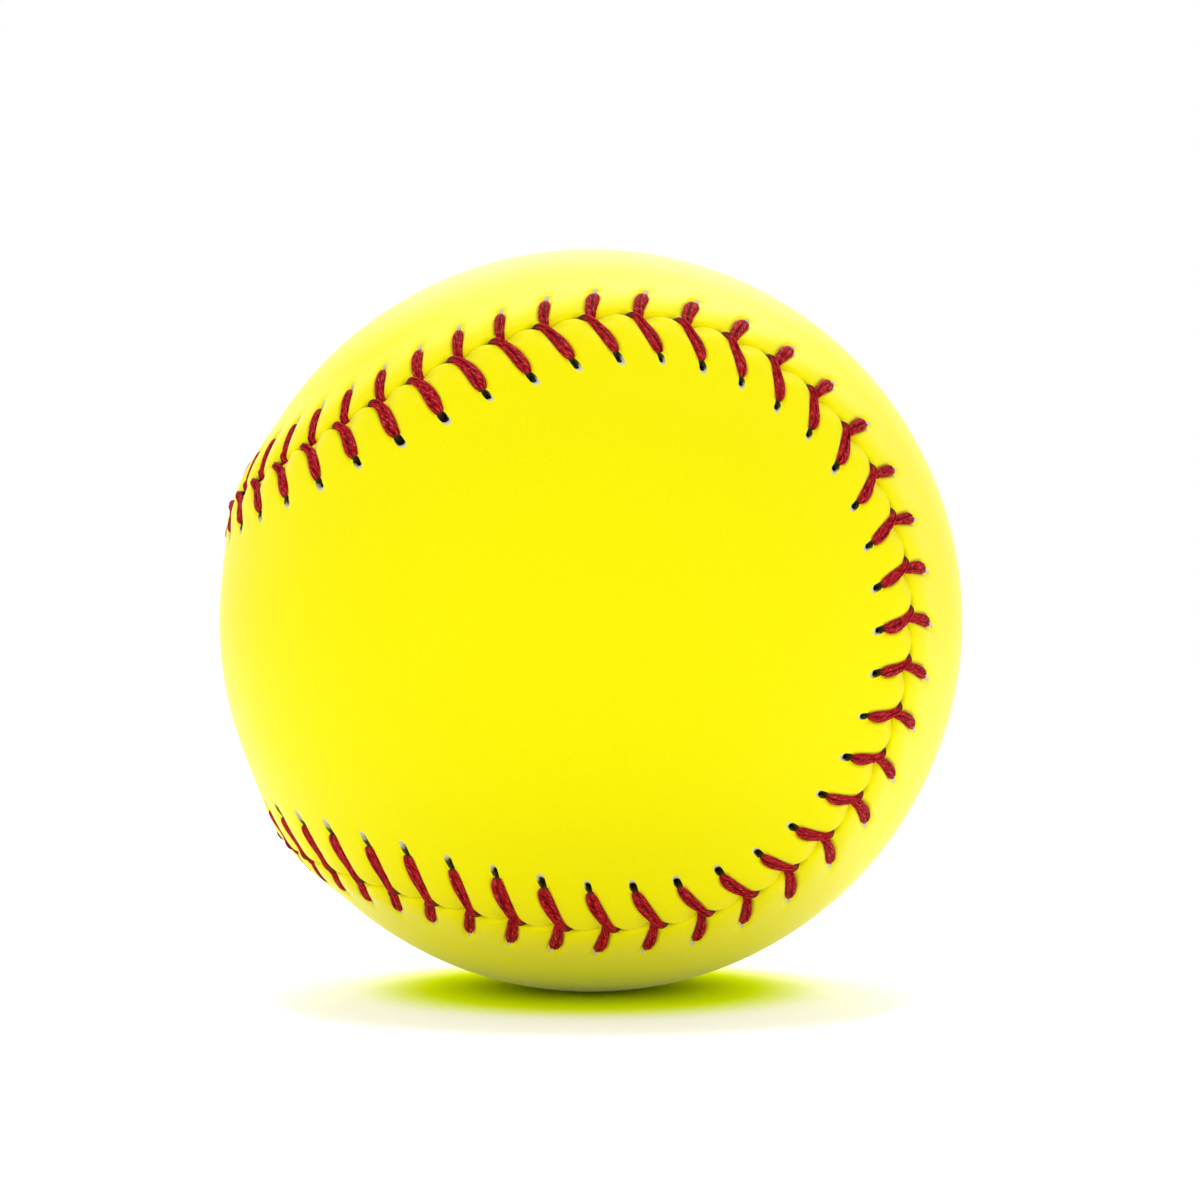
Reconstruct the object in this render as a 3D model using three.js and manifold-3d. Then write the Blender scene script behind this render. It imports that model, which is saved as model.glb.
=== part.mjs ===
// A stitched 12-inch softball: one solid moulded core, two figure-eight leather panels, and the
// thread that laces the panels together along one closed seam.
// Millimetres, +Z up, origin at the centre of the ball. Seen along +Y it is the photographed side.

import * as THREE from 'three';
import { mergeVertices } from 'three/addons/utils/BufferGeometryUtils.js';
import Module from 'manifold-3d';

// The ball and its cover.
const ballCircumference = 304.8;
const coverThickness = 1.5;
const cementFilm = 0.4;

// The seam on a ball of radius 1. The third wave draws in the necks of the panels,
// and the rise sets how far the seam climbs towards the two poles.
const seamThirdWave = 0.543;
const seamRise = 0.893;

// How the ball lies: turns of the seam in degrees, in the order X, Y, Z.
const seamTurnX = -122.5;
const seamTurnY = -76.2;
const seamTurnZ = 143.3;

// Stitches. Each one is a V that opens forward along the seam: its two legs start at one point
// of the seam, and each ends in a hole of its own panel. The needles change sides at each stitch,
// so the stitches come in pairs.
const stitchPairs = 46;
const firstStitch = 0.5;
const holeInset = 6.9;
const holeLead = 3.1;
const holeReach = 0.5;

// The waxed thread: a flat ribbon on the leg, drawn narrow in the holes and in the seam.
const threadThickness = 0.6;
const threadWidth = 1.4;
const threadWaist = 0.7;
const threadClearance = 0.25;
const passingGap = 0.6;
const legBow = 0.35;
const hiddenBow = 1.5;

// The lip of each panel, rolled down into the seam and puffed up between the stitches.
const closedSeamGap = 0.3;
const lipInset = 1.6;
const lipDrop = 0.3;
const valleyDrop = 0.3;
const pillowHeight = 0.35;
const ridgeFoot = 13;

// The flat on which the ball rests.
const restRadius = 5;

// Size of the facets away from the seam.
const facetSize = 7;
const coreFacetRows = 6;

// Sizes that follow from the ones above.
const ballRadius = ballCircumference / (2 * Math.PI);
const coreRadius = ballRadius - coverThickness - cementFilm;
const stitchCount = 2 * stitchPairs;
const diveSpacing = threadWaist + passingGap;
const slitHalf = threadThickness / 2 + threadClearance;
const valleyHalf = Math.max(diveSpacing + threadWaist, threadWidth) / 2 + threadClearance / 2;
const holeAlong = threadWaist + threadThickness + threadClearance;
const holeAcross = threadWaist + 2 * threadClearance + holeReach;
const holeNear = holeInset - holeAcross / 2;
const holeFar = holeInset + holeAcross / 2;
const restDepth = ballRadius - Math.sqrt(ballRadius ** 2 - restRadius ** 2);

// The seam as a curve on a ball of radius 1.
class Seam extends THREE.Curve {
  getPoint(t) {
    const angle = 2 * Math.PI * t;
    const x = Math.sin(angle) + seamThirdWave * Math.sin(3 * angle);
    const y = Math.cos(angle) - seamThirdWave * Math.cos(3 * angle);
    const z = seamRise * Math.cos(2 * angle);
    return new THREE.Vector3(x, y, z).normalize();
  }
}

const seam = new Seam();
seam.arcLengthDivisions = 4000;
const seamLength = seam.getLength() * ballRadius;
const pitch = seamLength / stitchCount;
const seamPose = new THREE.Quaternion().setFromEuler(new THREE.Euler(
  THREE.MathUtils.degToRad(seamTurnX),
  THREE.MathUtils.degToRad(seamTurnY),
  THREE.MathUtils.degToRad(seamTurnZ),
));

// A thread that runs from the seam to the next hole under the cover lies in a tunnel, which
// lifts the cover into a low ridge. Straight runs of thread dip a little towards the core.
const hiddenRun = Math.hypot(pitch + holeLead, holeInset);
const chordDip = (hiddenRun / 2) ** 2 / (8 * coreRadius);
const tunnelHeight = threadThickness + 2 * threadClearance + chordDip;

// Heights are measured from the ball's radius, outward positive.
const coreTop = -coverThickness - cementFilm;
const tunnelRoof = coreTop + tunnelHeight;
const ridgeHeight = tunnelRoof + coverThickness;
const hiddenHeight = coreTop + threadClearance + chordDip + threadThickness / 2;
const legHeight = ridgeHeight + threadClearance + threadThickness / 2;
const valleyHeight = ridgeHeight - valleyDrop;
const lipHeight = valleyHeight - lipDrop;
const diveHeight = lipHeight + threadClearance + threadThickness;

// The place at a distance along the seam, a distance across it and a height.
function besideSeam(along, across, height) {
  const share = THREE.MathUtils.euclideanModulo(along / seamLength, 1);
  const point = seam.getPointAt(share);
  const sideways = point.clone().cross(seam.getTangentAt(share)).normalize();
  const turn = across / ballRadius;
  point.multiplyScalar(Math.cos(turn)).addScaledVector(sideways, Math.sin(turn));
  return point.multiplyScalar(ballRadius + height).applyQuaternion(seamPose);
}

function stitchAt(index) {
  return (index + firstStitch) * pitch;
}

// How far forward the middle of a leg lies at a distance across the seam.
function lean(across) {
  return holeLead * across / holeInset;
}

// A closed skin that is built up from rows of points.
class Skin {
  constructor(turned) {
    this.turned = turned;
    this.points = [];
    this.faces = [];
  }

  addPoint(point) {
    this.points.push(point);
    return this.points.length - 1;
  }

  addFace(a, b, c) {
    this.faces.push(this.turned ? [a, c, b] : [a, b, c]);
  }

  addQuad(a, b, c, d) {
    this.addFace(a, b, c);
    this.addFace(a, c, d);
  }

  distance(a, b) {
    return this.points[a].distanceTo(this.points[b]);
  }

  // Fills the space between two rows, which may differ in number of points.
  zip(left, right) {
    let i = 0;
    let j = 0;
    while (i < left.length - 1 || j < right.length - 1) {
      const leftIsDone = i === left.length - 1;
      const rightIsDone = j === right.length - 1;
      const leftIsNearer = !leftIsDone && !rightIsDone
        && this.distance(left[i + 1], right[j]) <= this.distance(left[i], right[j + 1]);
      if (rightIsDone || leftIsNearer) {
        this.addFace(left[i], left[i + 1], right[j]);
        i += 1;
      } else {
        this.addFace(left[i], right[j + 1], right[j]);
        j += 1;
      }
    }
  }

  zipLoops(left, right) {
    this.zip([...left, left[0]], [...right, right[0]]);
  }

  geometry() {
    const geometry = new THREE.BufferGeometry();
    const numbers = this.points.flatMap((point) => point.toArray());
    geometry.setAttribute('position', new THREE.Float32BufferAttribute(numbers, 3));
    geometry.setIndex(this.faces.flat());
    geometry.computeVertexNormals();
    return geometry;
  }
}

// One panel of the cover. Side -1 is the panel whose broad end faces the camera.
function coverPanel(side) {
  const outside = new Skin(side < 0);
  const stitches = Array.from({ length: stitchCount }, (_, index) => stitchAt(index));

  const addRow = (places) => places.map(
    ([along, across, height]) => outside.addPoint(besideSeam(along, side * across, height)),
  );

  // A row along the lip: both sides of the valley under a stitch, then the pillow's crest.
  const lipRow = (valleyInset, crestInset, valley, crest) => addRow(stitches.flatMap((stitch) => {
    const middle = stitch + lean(valleyInset);
    return [
      [middle - valleyHalf, valleyInset, valley],
      [middle + valleyHalf, valleyInset, valley],
      [middle + pitch / 2, crestInset, crest],
    ];
  }));

  // A row through the holes: the two corners of each hole.
  const holeRow = (inset, height) => addRow(stitches.flatMap((stitch) => {
    const middle = stitch + lean(inset);
    return [[middle - holeAlong / 2, inset, height], [middle + holeAlong / 2, inset, height]];
  }));

  const topEdge = lipRow(slitHalf, closedSeamGap / 2, lipHeight, valleyHeight);
  const topLip = lipRow(lipInset, lipInset, valleyHeight, ridgeHeight + pillowHeight);
  const topNear = holeRow(holeNear, ridgeHeight);
  const topFar = holeRow(holeFar, ridgeHeight);
  const roofEdge = lipRow(slitHalf, closedSeamGap / 2, tunnelRoof, tunnelRoof);
  const roofNear = holeRow(holeNear, tunnelRoof);
  const roofFar = holeRow(holeFar, tunnelRoof);

  outside.zipLoops(roofEdge, topEdge);
  outside.zipLoops(topEdge, topLip);
  outside.zipLoops(topLip, topNear);
  outside.zipLoops(roofNear, roofEdge);

  const holeCorners = 2 * stitchCount;
  for (let corner = 0; corner < holeCorners; corner += 2) {
    const right = corner + 1;
    const next = (corner + 2) % holeCorners;
    outside.addQuad(topNear[right], topNear[next], topFar[next], topFar[right]);
    outside.addQuad(roofFar[right], roofFar[next], roofNear[next], roofNear[right]);

    const rim = [topNear[corner], topNear[right], topFar[right], topFar[corner]];
    const foot = [roofNear[corner], roofNear[right], roofFar[right], roofFar[corner]];
    rim.forEach((top, index) => {
      const after = (index + 1) % rim.length;
      outside.addQuad(top, rim[after], foot[after], foot[index]);
    });
  }

  // The broad field inside the ridge is filled by rows that cross the panel from seam to seam.
  const loopCount = 4 * Math.round(seamLength / facetSize / 4);
  const loopStep = seamLength / loopCount;
  const panelEnd = side < 0 ? loopCount / 4 : 0;
  const firstLoop = Math.round((stitchAt(0) + lean(holeFar)) / loopStep);

  function field(height, far, flip) {
    const places = Array.from({ length: loopCount }, (_, index) => [index * loopStep, ridgeFoot, height]);
    const loop = addRow(places);
    const loopPoint = (index) => loop[THREE.MathUtils.euclideanModulo(index, loopCount)];
    const inStep = loop.map((_, index) => loopPoint(index + firstLoop));
    const join = (left, right) => (flip ? outside.zip(right, left) : outside.zip(left, right));
    join([...far, far[0]], [...inStep, inStep[0]]);

    const crossRow = (reach) => {
      const start = loopPoint(panelEnd + reach);
      const end = loopPoint(panelEnd - reach);
      if (start === end) return [start];
      const from = outside.points[start];
      const to = outside.points[end];
      const steps = Math.max(1, Math.round(from.distanceTo(to) / facetSize));
      const inner = Array.from({ length: steps - 1 }, (_, index) => {
        const middle = from.clone().lerp(to, (index + 1) / steps);
        return outside.addPoint(middle.setLength(ballRadius + height));
      });
      return [start, ...inner, end];
    };

    let last = crossRow(0);
    for (let reach = 1; reach <= loopCount / 2; reach += 1) {
      const row = crossRow(reach);
      join(row, last);
      last = row;
    }
  }

  field(0, topFar, false);
  field(-coverThickness, roofFar, true);
  return outside.geometry();
}

// One needle's thread: out of a hole, back over its own panel to the seam, down between the
// panels and forward under the other panel to that panel's next hole, all the way round.
function needleThread(firstSide) {
  const skin = new Skin(false);
  const half = threadThickness / 2;
  const riseInset = holeNear + threadClearance + threadWaist / 2;
  const rings = [];

  // A ring has four corners round a middle. Its places are along, across and height, with
  // across counted away from the seam on the thread's own side.
  function addRing(side, middle, wide, thick) {
    const corners = [[1, 1], [-1, 1], [-1, -1], [1, -1]];
    rings.push(corners.map(([w, t]) => {
      const place = middle.clone().addScaledVector(wide, w).addScaledVector(thick, side * t);
      return skin.addPoint(besideSeam(place.x, side * place.y, place.z));
    }));
  }

  for (let index = 0; index < stitchCount; index += 1) {
    const side = index % 2 === 0 ? firstSide : -firstSide;
    const stitch = stitchAt(index);
    const dive = new THREE.Vector2(stitch + side * diveSpacing / 2, 0);
    const lastDive = new THREE.Vector2(stitch - pitch - side * diveSpacing / 2, 0);
    const rise = new THREE.Vector2(stitch + lean(riseInset), riseInset);

    const hidden = rise.clone().sub(lastDive).normalize();
    const hiddenMiddle = rise.clone().add(lastDive).multiplyScalar(0.5);
    hiddenMiddle.add(new THREE.Vector2(-hidden.y, hidden.x).multiplyScalar(hiddenBow));
    const arriving = rise.clone().sub(hiddenMiddle).normalize();
    const leg = dive.clone().sub(rise).normalize();
    const legMiddle = dive.clone().add(rise).multiplyScalar(0.5);
    legMiddle.add(new THREE.Vector2(leg.y, -leg.x).multiplyScalar(legBow));
    const legWide = new THREE.Vector3(leg.y, -leg.x, 0);
    const hiddenWide = new THREE.Vector3(-arriving.y, arriving.x, 0);
    const turnWide = legWide.clone().add(hiddenWide).normalize();
    const middleHeight = legHeight - valleyDrop / 2;

    addRing(
      side,
      new THREE.Vector3(hiddenMiddle.x, hiddenMiddle.y, hiddenHeight),
      new THREE.Vector3(-hidden.y, hidden.x, 0).multiplyScalar(half),
      new THREE.Vector3(0, 0, half),
    );
    addRing(
      side,
      new THREE.Vector3(rise.x, rise.y, hiddenHeight),
      turnWide.multiplyScalar(threadWaist / 2),
      new THREE.Vector3(-arriving.x, -arriving.y, 1).multiplyScalar(half),
    );
    addRing(
      side,
      new THREE.Vector3(rise.x, rise.y, legHeight),
      legWide.clone().multiplyScalar(threadWaist / 2),
      new THREE.Vector3(leg.x, leg.y, -1).multiplyScalar(half),
    );
    addRing(
      side,
      new THREE.Vector3(legMiddle.x, legMiddle.y, middleHeight),
      legWide.clone().multiplyScalar(threadWidth / 2),
      new THREE.Vector3(0, 0, -half),
    );
    addRing(
      side,
      new THREE.Vector3(dive.x, dive.y, diveHeight),
      new THREE.Vector3(-threadWaist / 2, 0, 0),
      new THREE.Vector3(0, half, -half),
    );
    addRing(
      side,
      new THREE.Vector3(dive.x, dive.y, hiddenHeight),
      new THREE.Vector3(-threadWaist / 2, 0, 0),
      new THREE.Vector3(0, half, -half),
    );
  }

  rings.forEach((ring, index) => {
    const next = rings[(index + 1) % rings.length];
    ring.forEach((corner, turn) => {
      const after = (turn + 1) % ring.length;
      skin.addQuad(corner, ring[after], next[after], next[turn]);
    });
  });
  return skin.geometry();
}

function moulded() {
  const sphere = new THREE.IcosahedronGeometry(coreRadius, coreFacetRows);
  sphere.deleteAttribute('normal');
  sphere.deleteAttribute('uv');
  const core = mergeVertices(sphere);
  core.computeVertexNormals();
  return core;
}

const wasm = await Module();
wasm.setup();

function toSolid(geometry) {
  const bare = geometry.clone();
  bare.deleteAttribute('normal');
  bare.deleteAttribute('uv');
  const merged = mergeVertices(bare);
  return new wasm.Manifold(new wasm.Mesh({
    numProp: 3,
    vertProperties: Float32Array.from(merged.attributes.position.array),
    triVerts: Uint32Array.from(merged.index.array),
  }));
}

// Takes the lowest sliver off a panel, so that the ball has a small true flat to rest on.
function withRestingFlat(panel) {
  const block = new THREE.BoxGeometry(4 * restRadius, 4 * restRadius, 2 * restDepth);
  block.translate(0, 0, -ballRadius);
  const mesh = toSolid(panel).subtract(toSolid(block)).getMesh();
  const geometry = new THREE.BufferGeometry();
  geometry.setAttribute('position', new THREE.BufferAttribute(mesh.vertProperties, 3));
  geometry.setIndex(new THREE.BufferAttribute(mesh.triVerts, 1));
  geometry.computeVertexNormals();
  return geometry;
}

const coreFoam = { color: 0xd9d2bf, roughness: 0.8, metalness: 0 };
const opticLeather = { color: 0xfef600, roughness: 0.5, metalness: 0 };
const waxedThread = { color: 0xbe142d, roughness: 0.6, metalness: 0 };

function addPiece(group, name, geometry, finish) {
  const piece = new THREE.Mesh(geometry, new THREE.MeshStandardMaterial(finish));
  piece.name = name;
  group.add(piece);
}

const ball = new THREE.Group();
addPiece(ball, 'core', moulded(), coreFoam);
addPiece(ball, 'cover_panel_front', withRestingFlat(coverPanel(-1)), opticLeather);
addPiece(ball, 'cover_panel_back', withRestingFlat(coverPanel(1)), opticLeather);
addPiece(ball, 'thread_first_needle', needleThread(-1), waxedThread);
addPiece(ball, 'thread_second_needle', needleThread(1), waxedThread);

export default ball;
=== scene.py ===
"""A stitched 12-inch softball in optic yellow, lying on a white table.

Two leather panels are laced over a moulded core with red waxed thread. Every mesh is in metres,
in the part's frame.
"""

import math

import bpy
import numpy as np
from mathutils import Euler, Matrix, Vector


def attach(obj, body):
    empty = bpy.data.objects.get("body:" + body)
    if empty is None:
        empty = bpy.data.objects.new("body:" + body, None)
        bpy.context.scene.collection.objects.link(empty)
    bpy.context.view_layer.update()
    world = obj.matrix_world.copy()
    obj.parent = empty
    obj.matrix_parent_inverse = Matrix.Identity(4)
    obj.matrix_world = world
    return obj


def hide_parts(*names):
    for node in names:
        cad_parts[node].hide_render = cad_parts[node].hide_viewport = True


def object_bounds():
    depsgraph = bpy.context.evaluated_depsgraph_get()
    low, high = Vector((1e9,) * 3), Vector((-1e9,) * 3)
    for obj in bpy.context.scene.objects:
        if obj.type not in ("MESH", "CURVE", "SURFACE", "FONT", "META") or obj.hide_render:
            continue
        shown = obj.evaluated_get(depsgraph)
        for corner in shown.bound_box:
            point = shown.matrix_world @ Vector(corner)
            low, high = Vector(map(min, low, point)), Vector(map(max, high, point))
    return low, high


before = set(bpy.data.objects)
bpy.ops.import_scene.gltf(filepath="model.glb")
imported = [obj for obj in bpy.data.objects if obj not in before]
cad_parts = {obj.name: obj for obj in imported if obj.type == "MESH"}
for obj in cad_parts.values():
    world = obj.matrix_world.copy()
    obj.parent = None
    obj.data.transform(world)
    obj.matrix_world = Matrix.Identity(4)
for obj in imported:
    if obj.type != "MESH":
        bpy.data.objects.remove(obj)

cad_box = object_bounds()

# Sizes are in millimetres up to the point where a mesh is made. A spot on the cover is given by
# its place, which counts stitches along the seam, and its inset from the edge of its panel.
MM = 0.001

# Each stitch is a V. Its near leg lies on the front panel, at negative distances across the seam,
# and its far leg lies on the back panel.
NEAR = -1
FAR = 1
SIDES = (NEAR, FAR)

# The ball, its cover and the seam, as in the part's source.
BALL_RADIUS = 304.8 / (2 * math.pi)
COVER_THICKNESS = 1.5
SEAM_THIRD_WAVE = 0.543
SEAM_RISE = 0.893
SEAM_TURNS = (-122.5, -76.2, 143.3)
STITCHES = 92
FIRST_STITCH = 0.5
RESTING_FLAT = 5.0

# Between the core and the cover the thread runs hidden at this height, and lifts the flesh side
# to its roof. From the brow on the cover lies down, and its foot is flat on the core.
HIDDEN_HEIGHT = -1.26
HIDDEN_ROOF = -0.7
HIDDEN_BROW = 8.0
FOOT = 13.0
HIDDEN_END = FOOT - 0.5

# The near leg sets out along the seam and then turns to its hole. The far leg comes out from
# under it, further on, and runs across with a slight lean.
NEAR_LEAD = 3.6
NEAR_CURVE = 0.5
FAR_TUCK = 1.35
FAR_LEAD = 2.6
FAR_CURVE = 1.4
HOLE_INSET = 6.7

# Hand sewing pulls the panels a little unevenly, in slow swings: how many there are round the
# ball, the size in millimetres, and a stitch where one peaks. Drift goes along the seam, and
# wander and sway go across it.
STITCH_DRIFT = (4, 1.1, 5.8)
TIP_DRIFT = (6, 0.5, 4.3)
NEAR_DRIFT = (6, 1.15, 2.2)
SEAM_WANDER = (4, 0.82, 13.0)
TIP_WANDER = (6, 0.4, 5.9)
HOLE_WANDER = (6, 0.3, 1.9)
HOLE_SWAY = (4, 0.6, 10.4)
SEAM_SHIFT = -0.3

# How far from the seam and from the holes these pulls are felt.
SEAM_PULL_REACH = 4.5
HOLE_PULL_REACH = 3.5

# The pierced holes. The thread goes in at the mouth, which lies on the seam's side of the middle.
HOLE_MIDDLE = {NEAR: 6.5, FAR: 5.82}
HOLE_HALF_WIDTH = {NEAR: 0.5, FAR: 0.3}
HOLE_HALF_LENGTH = {NEAR: 1.1, FAR: 0.84}
HOLE_SQUARENESS = {NEAR: 2.7, FAR: 2.0}
MOUTH_SHIFT = {NEAR: 1.1, FAR: 0.84}

# Inside the leather a hole has closed up to these shares of its size. Its wall slopes gently at
# first: how far in and how far down this slope ends.
INNER_WIDTH = 0.9
INNER_LENGTH = 0.55
SLOPE_IN = 0.75
SLOPE_DOWN = 0.36

# How strongly shade is painted on the wall of a hole, over what share of its half length it fades
# out, and how much shade is painted on the thread that goes into the hole.
HOLE_WALL_SHADE = {NEAR: 1.0, FAR: 0.0}
WALL_SHADE_FADE = 0.5
END_SHADE = {NEAR: 1.0, FAR: 0.3}

# The waxed thread, and how wide a leg is at its insets, from the hole towards the seam. The
# seating is the share of its half thickness by which its middle stands over the leather. The
# thread counts as running level where this share of its way is level.
THREAD_THICKNESS = 0.66
THREAD_SEATING = 0.72
THREAD_GIRTH = 3.6
LEVEL_SHARE = 0.75
LEG_END_WIDTH = {NEAR: 1.02, FAR: 0.72}
LEG_WIDTHS = {
    NEAR: ((4.9, 1.3), (4.2, 1.46), (3.4, 1.5), (2.7, 1.44), (2.0, 1.3), (1.35, 1.14)),
    FAR: ((4.5, 1.14), (3.9, 1.34), (3.3, 1.38), (2.7, 1.34), (2.0, 1.24), (1.4, 1.14)),
}

# The outline of the thread: its corners are squared off by these powers across and through it.
# The groove between its plies and its strands are shares of its half thickness, and the strands
# wind round it by so many radians in each millimetre.
OUTLINE_ACROSS = 0.85
OUTLINE_THROUGH = 0.7
GROOVE_DEPTH = 0.6
GROOVE_REACH = 0.15
STRANDS = 10
STRAND_HEIGHT = 0.05
STRAND_TWIST = 1.3

# The ridge that the hidden thread lifts, and the pillows between the stitches. A pillow is broad
# on top, and its valley is sunk below the ridge by a share of its height.
RIDGE_HEIGHT = 0.55
RIDGE_BROW = 2.2
RIDGE_END = FOOT - 1.5
PILLOW_HEIGHT = 0.5
PILLOW_CREST = 1.7
PILLOW_REACH = 3.2
PILLOW_BREADTH = 0.6
PILLOW_SINK = 0.45

# The front panel's valleys reach the seam a little ahead of the stitch.
VALLEY_SHIFT = 1.4
VALLEY_STRAIGHT = 2.6

# The rolled lip bulges between the stitches, and a slit opens where the thread goes down.
LIP_RADIUS = 0.6
LIP_BULGE = 0.25
LIP_REACH = 2.6
SLIT_GAP = 0.5
SLIT_REACH = 0.95
SHUT_GAP = 0.02

# The dip where the far leg comes out, the dimple at each hole and the bed under each leg, with
# the stretches over which the bed starts and ends.
DIP_DEPTH = 0.3
DIP_LEAD = 1.4
DIP_LENGTH = 1.1
DIP_WIDTH = 1.3
DIMPLE_DEPTH = 0.15
DIMPLE_REACH = 1.5
DIMPLE_SHARPNESS = 6
BED_DEPTH = 0.2
BED_EDGE = 0.4
BED_START = (0.4, 1.4)
BED_END = (5.4, 6.6)

# The shade painted beside each leg, where the thread's contact shadow falls, with a little dirt:
# how far from the thread it is thickest, how far it reaches from there, and the stretches over
# which it starts and ends, the end counted from the hole's mouth.
CONTACT_SHADE_MIDDLE = 0.06
CONTACT_SHADE_REACH = 0.17
CONTACT_SHADE_START = (0.6, 1.4)
CONTACT_SHADE_END = (-1.0, -0.2)

# The hide is a little uneven beside the seam: the size and the depth of its waves, and over what
# distance they fade out towards the foot.
HIDE_WAVE = 14
HIDE_DEPTH = 0.035
HIDE_FADE = 4

# Mesh steps, and the turn in degrees from which an edge of the leather stays sharp.
COLUMNS_PER_STITCH = 30
LIP_TURNS = (0, 18, 36, 54, 72, 90)
PILLOW_STEP = 0.36
HOLE_STEP = 0.17
HOLE_ROWS = (4.72, 8.0)
FOOT_ROWS = 11
FIELD_STEP = 1.0
THREAD_SIDES = 40
RINGS_PER_POINT = 4
SHARP_TURN = 62

rng = np.random.default_rng(12)

# How far each hole strays from its even place, and how its size varies.
HOLE_STRAY = dict(zip(SIDES, rng.uniform(-0.16, 0.16, (2, STITCHES))))
HOLE_SIZE = dict(zip(SIDES, rng.uniform(0.88, 1.12, (2, STITCHES))))

# How plump the thread is on each leg, and how far the leg bends off its line.
THREAD_PLUMP = dict(zip(SIDES, rng.uniform(0.9, 1.1, (2, STITCHES))))
THREAD_BEND = dict(zip(SIDES, rng.uniform(-0.14, 0.14, (2, STITCHES))))

# How far the painted shade reaches along each near hole: -1 is its mouth and 1 its outer end.
HOLE_SHADED_TO = rng.uniform(0.0, 0.9, STITCHES)


def seam_points(angle):
    """Points of the seam on a ball of radius 1."""
    spot = np.stack([
        np.sin(angle) + SEAM_THIRD_WAVE * np.sin(3 * angle),
        np.cos(angle) - SEAM_THIRD_WAVE * np.cos(3 * angle),
        SEAM_RISE * np.cos(2 * angle),
    ], axis=-1)
    return spot / np.linalg.norm(spot, axis=-1, keepdims=True)


SEAM_ANGLES = np.linspace(0, 2 * math.pi, 40001)
SEAM_STEPS = np.linalg.norm(np.diff(seam_points(SEAM_ANGLES), axis=0), axis=1)
SEAM_RUN = np.concatenate([[0], np.cumsum(SEAM_STEPS)]) * BALL_RADIUS
SEAM_LENGTH = SEAM_RUN[-1]
PITCH = SEAM_LENGTH / STITCHES
SEAM_POSE = np.array(Euler([math.radians(turn) for turn in SEAM_TURNS], "ZYX").to_matrix())


def beside_seam(along, across, height):
    """Where a distance along the seam, a distance across it and a height over the ball lie."""
    angle = np.interp(np.mod(along, SEAM_LENGTH), SEAM_RUN, SEAM_ANGLES)
    spot = seam_points(angle)
    nudge = 1e-4
    ahead = seam_points(angle + nudge) - seam_points(angle - nudge)
    sideways = np.cross(spot, ahead)
    sideways /= np.linalg.norm(sideways, axis=-1, keepdims=True)
    turn = (across / BALL_RADIUS)[..., None]
    spot = spot * np.cos(turn) + sideways * np.sin(turn)
    return (BALL_RADIUS + height)[..., None] * spot @ SEAM_POSE.T * MM


def bell(distance, reach):
    """1 at no distance, falling off on both sides in a bell curve."""
    return np.exp(-(distance / reach) ** 2)


def ease(value, start, end):
    """Rises smoothly from 0 at the start to 1 at the end."""
    share = np.clip((value - start) / (end - start), 0, 1)
    return share * share * (3 - 2 * share)


def swing(wave, place):
    """A slow swing of the sewing at a place."""
    rounds, size, peak = wave
    return size * np.cos(2 * math.pi * rounds * (place - peak) / STITCHES)


def lean(side, inset):
    """How far ahead of the stitch's start the middle of a leg lies, at an inset."""
    share = np.maximum(inset / HOLE_INSET, 0)
    if side == NEAR:
        return NEAR_LEAD * share ** NEAR_CURVE
    return FAR_TUCK + (FAR_LEAD - FAR_TUCK) * share ** FAR_CURVE


def leg_bend(side, stitch, inset):
    """How far the middle of one leg bends sideways off that line."""
    return THREAD_BEND[side][stitch] * np.sin(math.pi * inset / HOLE_INSET)


def sewn_along(side, place, inset):
    """How far along the seam a spot is pulled from its even place."""
    at_hole = ease(inset, 0, HOLE_INSET)
    tip = swing(TIP_DRIFT, place) * (1 - at_hole)
    hole = swing(NEAR_DRIFT, place) * at_hole if side == NEAR else 0
    return swing(STITCH_DRIFT, place) + tip + hole


def sewn_across(side, place, inset):
    """Distance across the seam line of a spot, with the pull of the sewing."""
    at_hole = bell(inset - HOLE_INSET, HOLE_PULL_REACH)
    sway = swing(HOLE_SWAY, place) * at_hole
    wander = swing(SEAM_WANDER, place) + swing(TIP_WANDER, place)
    wander = wander * bell(inset, SEAM_PULL_REACH) + swing(HOLE_WANDER, place) * at_hole
    return side * (inset + sway) + wander + SEAM_SHIFT


def along_from(side, place, lead):
    """Distance along the seam from the nearest spot that lies this far ahead of a stitch."""
    along = place * PITCH + lean(side, 0) - lead
    return along - np.round(along / PITCH) * PITCH


def beside_leg(side, place, inset):
    """How far a spot lies beside the edge of the nearest leg's thread. Under it this is below 0."""
    stitch = np.round(place).astype(int) % STITCHES
    from_middle = (place - np.round(place)) * PITCH - leg_bend(side, stitch, inset)
    insets, widths = zip(*reversed(LEG_WIDTHS[side]))
    half_width = np.interp(inset, insets, widths) / 2
    return np.abs(from_middle) - half_width * THREAD_PLUMP[side][stitch]


def ridge(inset):
    """Height of the ridge along the seam, which dies out towards the broad field."""
    return RIDGE_HEIGHT * (1 - ease(inset, RIDGE_BROW, RIDGE_END))


def flesh_height(inset):
    """Height of the flesh side: lifted over the hidden thread, and down on the core beyond."""
    drop = (COVER_THICKNESS + HIDDEN_ROOF) * ease(inset, HIDDEN_BROW, HIDDEN_END)
    return HIDDEN_ROOF - drop


def lip_drop(inset):
    """How far the rolled edge of the leather has turned down."""
    level = np.clip(1 - np.asarray(inset) / LIP_RADIUS, 0, 1)
    return LIP_RADIUS * (1 - np.sqrt(1 - level ** 2))


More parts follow.
